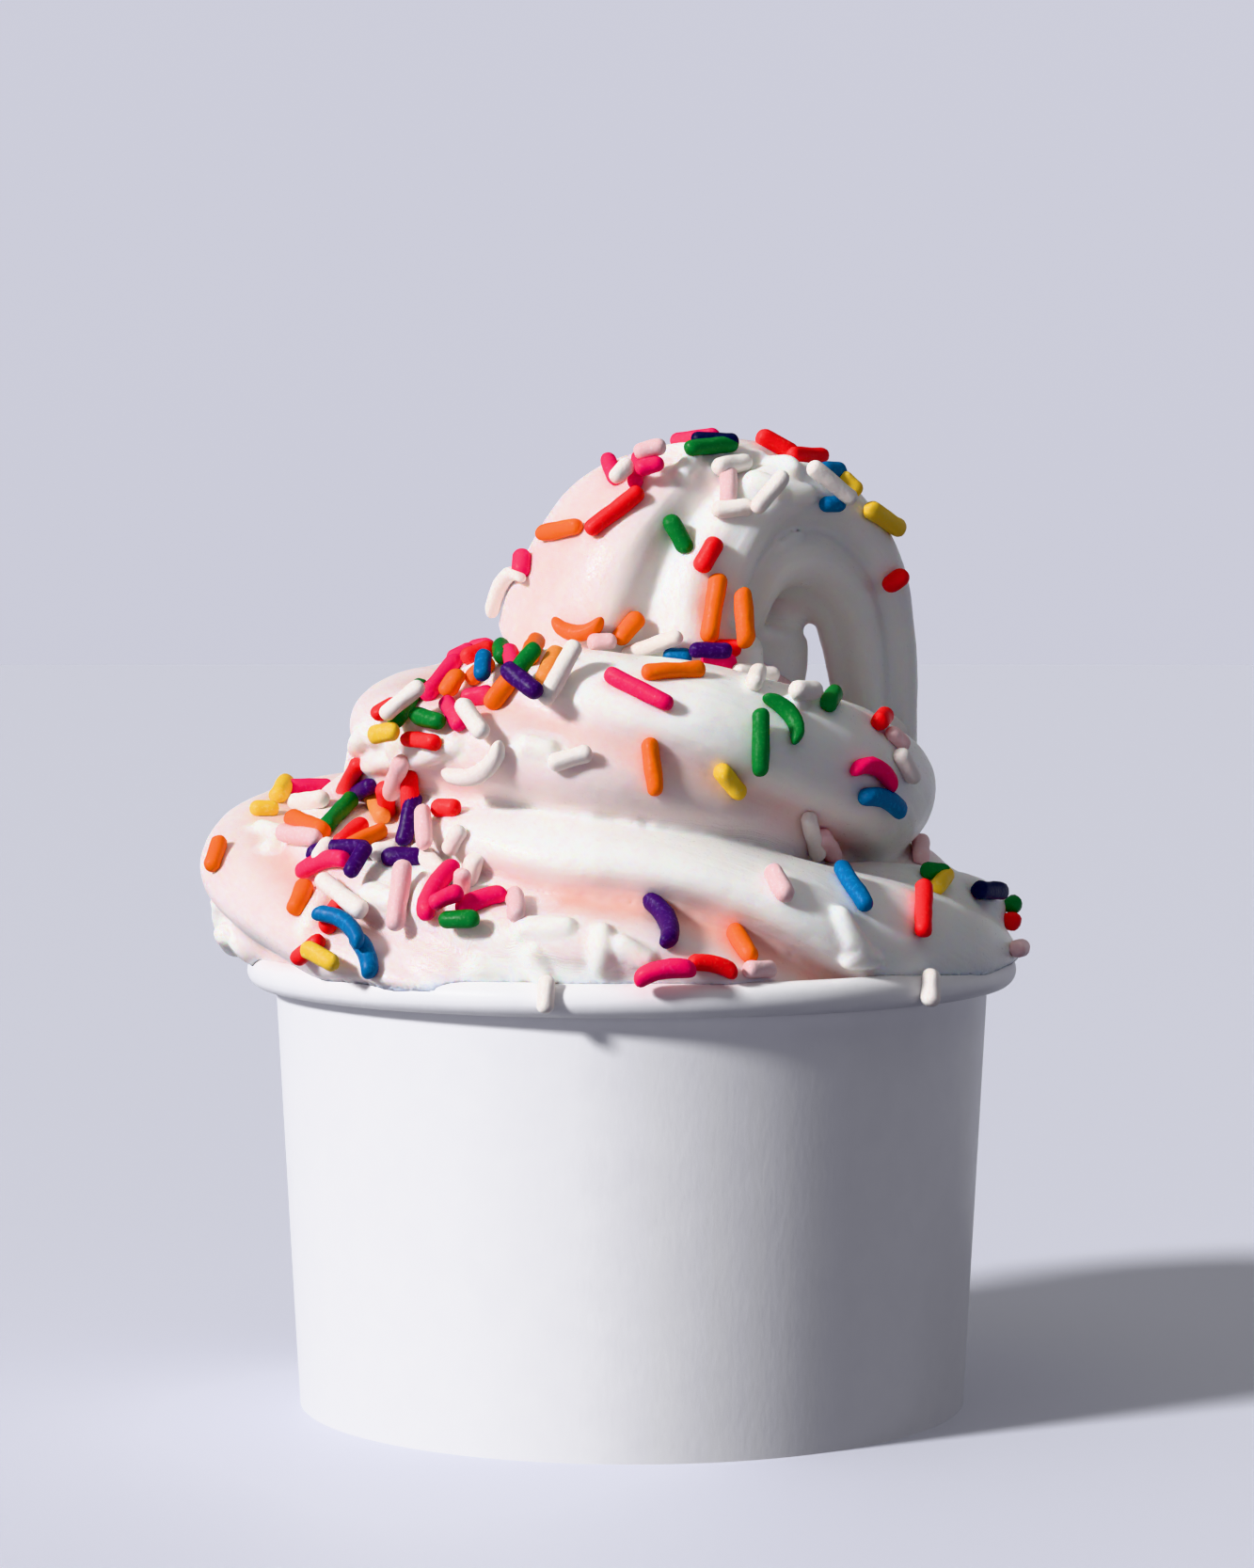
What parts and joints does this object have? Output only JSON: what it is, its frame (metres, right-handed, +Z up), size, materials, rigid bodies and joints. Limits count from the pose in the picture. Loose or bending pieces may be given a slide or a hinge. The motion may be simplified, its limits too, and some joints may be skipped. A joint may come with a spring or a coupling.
{
  "type": "cup of soft-serve ice cream",
  "caption": "Round paper cup heaped with a coil of grooved pink and white soft-serve ice cream whose end curls over the top, with coloured rod sprinkles fused to it.",
  "frame": {"origin": "bottom centre of the bounds; the cup's axis is about 3 mm towards +X of it, because the heap leans to -X", "axes": "+Z up along the cup's axis, -Y towards the side that the picture shows, +X to the right of that side"},
  "size_m": [0.093, 0.0892, 0.1108],
  "materials": {
    "paper": "satin coated paper",
    "ice_cream": "moist and smooth",
    "sprinkle": "hard sugar, in nine colours"
  },
  "bodies": {
    "root": {"cup_wall": "paper", "cup_disc": "paper", "soft_serve": "ice_cream"}
  },
  "joints": []
}
